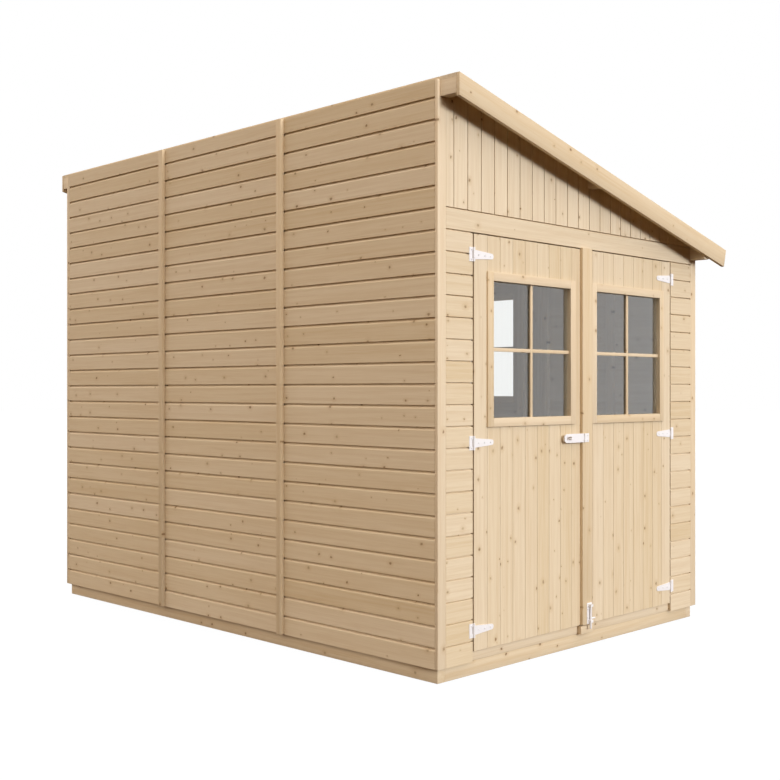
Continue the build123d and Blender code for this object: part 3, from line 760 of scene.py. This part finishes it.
eased_copy("corner_strips_eased", "corner_strips", "shed", "spruce_trim", darker=-0.4)
eased_copy("keeper_block_eased", "keeper_block", "shed", "spruce_trim")
eased_copy("cover_battens_eased", "cover_battens", "shed", "spruce_trim", darker=1.2)
# painted shade: the bargeboards are made darker, to take back the extra sky light that falls on the roof's
# edge
eased_copy("bargeboards_eased", "bargeboards", "shed", "spruce_trim", turn=PITCH, darker=1.0)
eased_copy("meeting_strip_eased", "meeting_strip", "right_door", "spruce_trim", darker=1.3)
for node in FRAMING:
    eased_copy(node + "_eased", node, "shed", "framing_timber")
for side in ("left", "right"):
    for node in (side + "_door_ledges", side + "_door_brace"):
        eased_copy(node + "_eased", node, side + "_door", "framing_timber")

# %% [markdown]
# ## Windows
# Each window has four trim boards outside, a sash of four bars inside that keeps the glass in its rebate,
# and a cross of thin bars in front of it. A ring cut from one board would have its grain running across two
# of the sides, so the trim is made as a joiner does: two full-height sides with a shorter board between
# them at the top and at the bottom.

# %% Bars round an opening, and across it
BAR_HALF = 8 * MM
BAR_THICK = 8 * MM


def four_bars(name, low, high, width, across):
    """Two upright bars and two level bars between them, round an opening."""
    bars = []
    for edge in (low, high):
        inward = 1 if edge is low else -1
        upright = [Vector(low), Vector(high)]
        upright[0][across] = edge[across]
        upright[1][across] = edge[across] + inward * width
        bars.append(block(name, *upright))
        level = [Vector(low), Vector(high)]
        level[0][across] = low[across] + width
        level[1][across] = high[across] - width
        level[0].z = edge.z
        level[1].z = edge.z + inward * width
        bars.append(block(name, *level))
    return bars


def cross_bars(low, high, face, across, out):
    """One upright bar and two short level bars inside the trim, on the face of the glass."""
    middle = (low + high) / 2
    upright = [Vector(low), Vector(high)]
    upright[0].z += TRIM
    upright[1].z -= TRIM
    upright[0][across] = middle[across] - BAR_HALF
    upright[1][across] = middle[across] + BAR_HALF
    bars = [upright]
    for sign in (-1, 1):
        level = [Vector(low), Vector(high)]
        level[0][across] = middle[across] + sign * BAR_HALF
        level[1][across] = (low[across] + TRIM) if sign < 0 else (high[across] - TRIM)
        level[0].z = middle.z - BAR_HALF
        level[1].z = middle.z + BAR_HALF
        bars.append(level)
    for corners in bars:
        corners[0][1 - across] = face
        corners[1][1 - across] = face + out * BAR_THICK
    return [block("bar", *corners) for corners in bars]


print("window bars are", round(2 * BAR_HALF / MM), "mm wide")

# %% One window's woodwork
TRIM_EASED, SASH_EASED = 0.8 * MM, 1.8 * MM


def window(side, body, across, out):
    """Trim, sash and the cross of bars of one window."""
    trim_low, trim_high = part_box(side + "_window_trim")
    trim = join(side + "_window_trim_boards", four_bars("trim", trim_low, trim_high, TRIM, across))
    ease(trim, TRIM_EASED)
    finish_wood(trim, body, "spruce_trim", [side + "_window_trim"], darker=0.1)

    sash_low, sash_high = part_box(side + "_window_sash")
    sash = join(side + "_window_sash_bars", four_bars("sash", sash_low, sash_high, TRIM, across))
    ease(sash, SASH_EASED)
    finish_wood(sash, body, "spruce_trim", [side + "_window_sash"])

    glass_low, glass_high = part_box(side + "_window_glass")
    face = (glass_low if out < 0 else glass_high)[1 - across]
    cross = join(side + "_window_bars", cross_bars(trim_low, trim_high, face, across, out))
    ease(cross, EASED)
    finish_wood(cross, body, "spruce_trim", [])


window("left", "left_door", 0, -1)
window("right", "right_door", 0, -1)
window("side", "shed", 1, 1)

# %% [markdown]
# ## Glass
# The panes are plain float glass, 4 mm. They keep their CAD shape. Glass is nearly clear, but it mirrors some
# of the white studio, which makes the dark room behind look neutral grey.

# %% Glass
float_glass = bpy.data.materials.new("clear_float_glass")
float_glass.use_nodes = True
glass_shader = float_glass.node_tree.nodes["Principled BSDF"]
glass_shader.inputs["Base Color"].default_value = colour("#F8F9F8")
glass_shader.inputs["Roughness"].default_value = 0.0
glass_shader.inputs["IOR"].default_value = 1.52
glass_shader.inputs["Transmission Weight"].default_value = 1.0
for side in ("left", "right", "side"):
    give_finish(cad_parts[side + "_window_glass"], float_glass)
print("three panes of", float_glass.name)

# %% [markdown]
# ## White hardware
# Hinges, hasp and bolt are pressed steel with a white powder coat: a smooth, slightly soft gloss with a very
# fine orange-peel surface. Their CAD shapes are right, so they only get the finish.

# %% White hardware
PEEL = 1.4 * MM
HINGES = ("hinge_plates", "left_hinge_straps", "right_hinge_straps")
LOCKS = ("hasp_staple", "hasp_plate", "hasp_flap", "bolt_case", "bolt_rod")
white_coat = bpy.data.materials.new("white_powder_coat")
white_coat.use_nodes = True
coat_tree = white_coat.node_tree
coat_shader = coat_tree.nodes["Principled BSDF"]
coat_shader.inputs["Base Color"].default_value = colour("#E7E3E1")
coat_shader.inputs["Roughness"].default_value = 0.38
coat_place = add(coat_tree, "TexCoord").outputs["Object"]
coat_peel = add(coat_tree, "TexNoise", {"Vector": coat_place, "Scale": 1 / PEEL, "Detail": 1.0}).outputs[0]
coat_bump = add(coat_tree, "Bump", {"Height": coat_peel, "Strength": 0.12, "Distance": 0.2 * MM})
coat_tree.links.new(coat_bump.outputs[0], coat_shader.inputs["Normal"])
for node in HINGES + LOCKS:
    give_finish(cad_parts[node], white_coat)
print("white coat on the hinges, the hasp and the bolt")

# %% [markdown]
# ## Screws
# The hardware is held by coated pan-head screws with a cross recess. One screw is turned from a short
# cylinder, its head is rounded with a bevel and two thin bars are cut out for the driver. Then it is copied
# to every hole and joined into one object for each moving body, so the screws swing with their door.


# %% One screw
def make_screw():
    """A pan head of 8 mm that looks to the front, at the origin."""
    radius, height = 4 * MM, 2 * MM
    bpy.ops.object.select_all(action="DESELECT")
    bpy.ops.mesh.primitive_cylinder_add(
        vertices=20, radius=radius, depth=height, location=(0, -height / 2, 0), rotation=(UPRIGHT, 0, 0)
    )
    bpy.ops.object.transform_apply()
    head = bpy.context.object
    head.name = "screw"
    bpy.ops.object.mode_set(mode="EDIT")
    pick(head, "EDGE", lambda co: co.y < NEAR - height)
    bpy.ops.mesh.bevel(offset=1.2 * MM, segments=3, affect="EDGES")
    bpy.ops.object.mode_set(mode="OBJECT")
    long, thin, deep, past = 2.4 * MM, 0.5 * MM, 1.1 * MM, 3 * MM
    cut_out(head, (-long, -past, -thin), (long, -deep, thin))
    cut_out(head, (-thin, -past, -long), (thin, -deep, long))
    return head


screw = make_screw()
print("one screw has", len(screw.data.polygons), "faces")

# %% Screws on each body
SHEET = 2.5 * MM
STRAP_HALF = 20 * MM
KNUCKLE = 5 * MM
STRAP_HOLES = (32 * MM, 72 * MM, 110 * MM)
PLATE_ASIDE, PLATE_RISE = 13 * MM, 20 * MM
HASP_INSET, HASP_RISE = 10 * MM, 11 * MM
CASE_INSET, CASE_END = 5 * MM, 30 * MM


def drive_screws(name, body, places):
    """Copies the screw to each place and joins the copies."""
    copies = []
    for place in places:
        copy = screw.copy()
        copy.data = screw.data.copy()
        bpy.context.scene.collection.objects.link(copy)
        copy.location = place
        activate(copy)
        bpy.ops.object.transform_apply()
        copies.append(copy)
    driven = join(name, copies)
    activate(driven)
    bpy.ops.object.shade_smooth_by_angle(angle=math.radians(30))
    give_finish(driven, white_coat)
    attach(driven, body)
    print(name, "has", len(places), "screws,", len(driven.data.polygons), "faces")


left_low, left_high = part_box("left_hinge_straps")
right_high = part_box("right_hinge_straps")[1]
flap_low, flap_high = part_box("hasp_flap")
lever_z = (flap_low.z + flap_high.z) / 2
hinge_z = (left_low.z + STRAP_HALF, lever_z, left_high.z - STRAP_HALF)
face_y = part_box("left_door_boards")[0].y - SHEET
left_pin, right_pin = left_low.x + KNUCKLE, right_high.x - KNUCKLE
plate_holes = [
    (x, face_y, z + rise)
    for x in (left_pin - PLATE_ASIDE, right_pin + PLATE_ASIDE)
    for z in hinge_z
    for rise in (-PLATE_RISE, PLATE_RISE)
]
drive_screws("hinge_plate_screws", "shed", plate_holes)
left_holes = [(left_pin + hole, face_y, z) for hole in STRAP_HOLES for z in hinge_z]
drive_screws("left_door_screws", "left_door", left_holes)

strip_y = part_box("meeting_strip")[0].y - SHEET
hasp_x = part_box("hasp_plate")[1].x - HASP_INSET
case_low, case_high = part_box("bolt_case")
right_holes = [(right_pin - hole, face_y, z) for hole in STRAP_HOLES for z in hinge_z]
right_holes += [(hasp_x, strip_y, lever_z + rise) for rise in (-HASP_RISE, HASP_RISE)]
right_holes += [
    (x, strip_y, z)
    for x in (case_low.x + CASE_INSET, case_high.x - CASE_INSET)
    for z in (case_low.z + CASE_END, case_high.z - CASE_END)
]
drive_screws("right_door_screws", "right_door", right_holes)
bpy.data.meshes.remove(screw.data)
